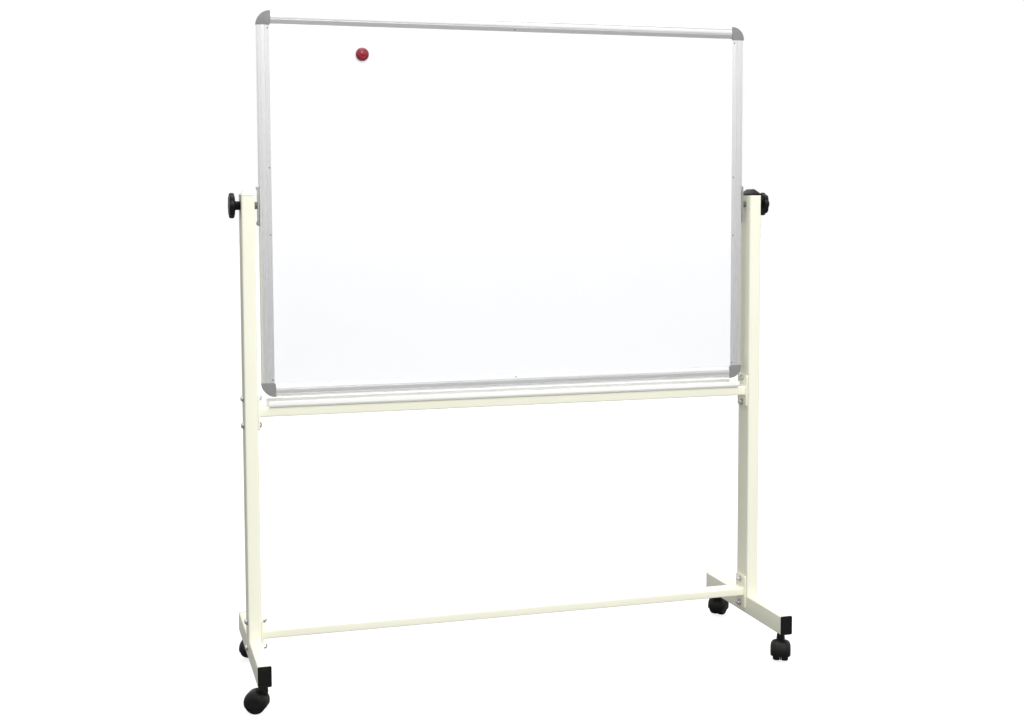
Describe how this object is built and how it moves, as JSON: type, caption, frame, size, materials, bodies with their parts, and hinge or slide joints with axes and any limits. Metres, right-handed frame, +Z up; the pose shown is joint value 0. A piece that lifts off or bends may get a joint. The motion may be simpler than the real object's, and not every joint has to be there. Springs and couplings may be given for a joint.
{
  "type": "rolling whiteboard",
  "caption": "Free-standing rolling whiteboard: a framed double-sided magnetic board that flips end over end on clamped pivots between tube uprights, with pen tray and castors.",
  "frame": {"origin": "floor level under the middle of the stand: midway between the uprights and midway along the feet", "axes": "+X along the board's width, -Y towards the front face that carries the magnet, +Z up"},
  "size_m": [1.342, 0.4558, 1.547],
  "materials": {
    "cream_powder_coat": "satin cream powder coat on steel tube",
    "tray_white_coat": "satin off-white powder coat on folded sheet",
    "anodised_aluminium": "satin anodised, drawn lengthways",
    "white_enamel": "gloss dry-wipe enamel on thin steel",
    "panel_fibre": "raw light fibreboard",
    "grey_plastic": "fine moulded texture, mid grey",
    "black_plastic": "black moulded nylon, satin",
    "white_plastic": "off-white moulded plastic",
    "wheel_nylon": "black nylon tread, scuffed",
    "zinc_steel": "bright zinc plate",
    "red_plastic": "gloss red"
  },
  "bodies": {
    "stand": {"upright_left": "cream_powder_coat", "upright_right": "cream_powder_coat", "upright_plug_left": "white_plastic", "upright_plug_right": "black_plastic", "foot_left": "cream_powder_coat", "foot_right": "cream_powder_coat", "foot_cap_front_left": "black_plastic", "foot_cap_rear_left": "black_plastic", "foot_cap_front_right": "black_plastic", "foot_cap_rear_right": "black_plastic", "crossbar_middle": "cream_powder_coat", "crossbar_lower": "cream_powder_coat", "pen_tray": "tray_white_coat", "bolt_middle_upper_left": "zinc_steel", "bolt_middle_lower_left": "zinc_steel", "bolt_lower_upper_left": "zinc_steel", "bolt_lower_lower_left": "zinc_steel", "bolt_middle_upper_right": "zinc_steel", "bolt_middle_lower_right": "zinc_steel", "bolt_lower_upper_right": "zinc_steel", "bolt_lower_lower_right": "zinc_steel", "castor_stem_front_left": "zinc_steel", "castor_stem_rear_left": "zinc_steel", "castor_stem_front_right": "zinc_steel", "castor_stem_rear_right": "zinc_steel"},
    "board": {"panel_core": "panel_fibre", "writing_sheet_front": "white_enamel", "writing_sheet_rear": "white_enamel", "frame_profile_left": "anodised_aluminium", "frame_profile_right": "anodised_aluminium", "frame_profile_top": "anodised_aluminium", "frame_profile_bottom": "anodised_aluminium", "corner_cap_top_left": "grey_plastic", "corner_cap_top_right": "grey_plastic", "corner_cap_bottom_left": "grey_plastic", "corner_cap_bottom_right": "grey_plastic", "pivot_plate_left": "zinc_steel", "pivot_plate_right": "zinc_steel", "pivot_screw_left_lower": "zinc_steel", "pivot_screw_left_upper": "zinc_steel", "pivot_screw_right_lower": "zinc_steel", "pivot_screw_right_upper": "zinc_steel", "pivot_spacer_left": "black_plastic", "pivot_spacer_right": "black_plastic"},
    "magnet": {"magnet_red": "red_plastic"},
    "knob_left": {"clamp_knob_left": "black_plastic"},
    "knob_right": {"clamp_knob_right": "black_plastic"},
    "castor_front_left": {"castor_hood_front_left": "black_plastic"},
    "wheels_front_left": {"castor_wheel_a_front_left": "wheel_nylon", "castor_wheel_b_front_left": "wheel_nylon"},
    "castor_rear_left": {"castor_hood_rear_left": "black_plastic"},
    "wheels_rear_left": {"castor_wheel_a_rear_left": "wheel_nylon", "castor_wheel_b_rear_left": "wheel_nylon"},
    "castor_front_right": {"castor_hood_front_right": "black_plastic"},
    "wheels_front_right": {"castor_wheel_a_front_right": "wheel_nylon", "castor_wheel_b_front_right": "wheel_nylon"},
    "castor_rear_right": {"castor_hood_rear_right": "black_plastic"},
    "wheels_rear_right": {"castor_wheel_a_rear_right": "wheel_nylon", "castor_wheel_b_rear_right": "wheel_nylon"}
  },
  "joints": [
    {"name": "board_flip", "type": "hinge", "parent": "stand", "child": "board", "pos_m": [0.00086, 0.0019, 1.1095], "axis": [1, 0, 0], "continuous": true},
    {"name": "magnet_lift", "type": "slide", "parent": "board", "child": "magnet", "axis": [0, -1, 0], "range_m": [0, 0.03]},
    {"name": "knob_left_turn", "type": "hinge", "parent": "board", "child": "knob_left", "pos_m": [-0.65664, 0.0019, 1.1095], "axis": [-1, 0, 0], "range_deg": [0, 360]},
    {"name": "knob_right_turn", "type": "hinge", "parent": "board", "child": "knob_right", "pos_m": [0.65836, 0.0019, 1.1095], "axis": [1, 0, 0], "range_deg": [0, 360]},
    {"name": "castor_front_left_swivel", "type": "hinge", "parent": "stand", "child": "castor_front_left", "pos_m": [-0.62614, -0.1831, 0.056], "axis": [0, 0, 1], "continuous": true},
    {"name": "castor_front_left_roll", "type": "hinge", "parent": "castor_front_left", "child": "wheels_front_left", "pos_m": [-0.64064, -0.17634, 0.02371], "axis": [-0.4226, -0.9063, 0], "continuous": true},
    {"name": "castor_rear_left_swivel", "type": "hinge", "parent": "stand", "child": "castor_rear_left", "pos_m": [-0.62614, 0.1869, 0.056], "axis": [0, 0, 1], "continuous": true},
    {"name": "castor_rear_left_roll", "type": "hinge", "parent": "castor_rear_left", "child": "wheels_rear_left", "pos_m": [-0.61406, 0.1974, 0.02371], "axis": [-0.6561, 0.7547, 0], "continuous": true},
    {"name": "castor_front_right_swivel", "type": "hinge", "parent": "stand", "child": "castor_front_right", "pos_m": [0.62786, -0.1831, 0.056], "axis": [0, 0, 1], "continuous": true},
    {"name": "castor_front_right_roll", "type": "hinge", "parent": "castor_front_right", "child": "wheels_front_right", "pos_m": [0.62035, -0.19723, 0.02371], "axis": [0.8829, -0.4695, 0], "continuous": true},
    {"name": "castor_rear_right_swivel", "type": "hinge", "parent": "stand", "child": "castor_rear_right", "pos_m": [0.62786, 0.1869, 0.056], "axis": [0, 0, 1], "continuous": true},
    {"name": "castor_rear_right_roll", "type": "hinge", "parent": "castor_rear_right", "child": "wheels_rear_right", "pos_m": [0.63994, 0.1974, 0.02371], "axis": [-0.6561, 0.7547, 0], "continuous": true}
  ]
}
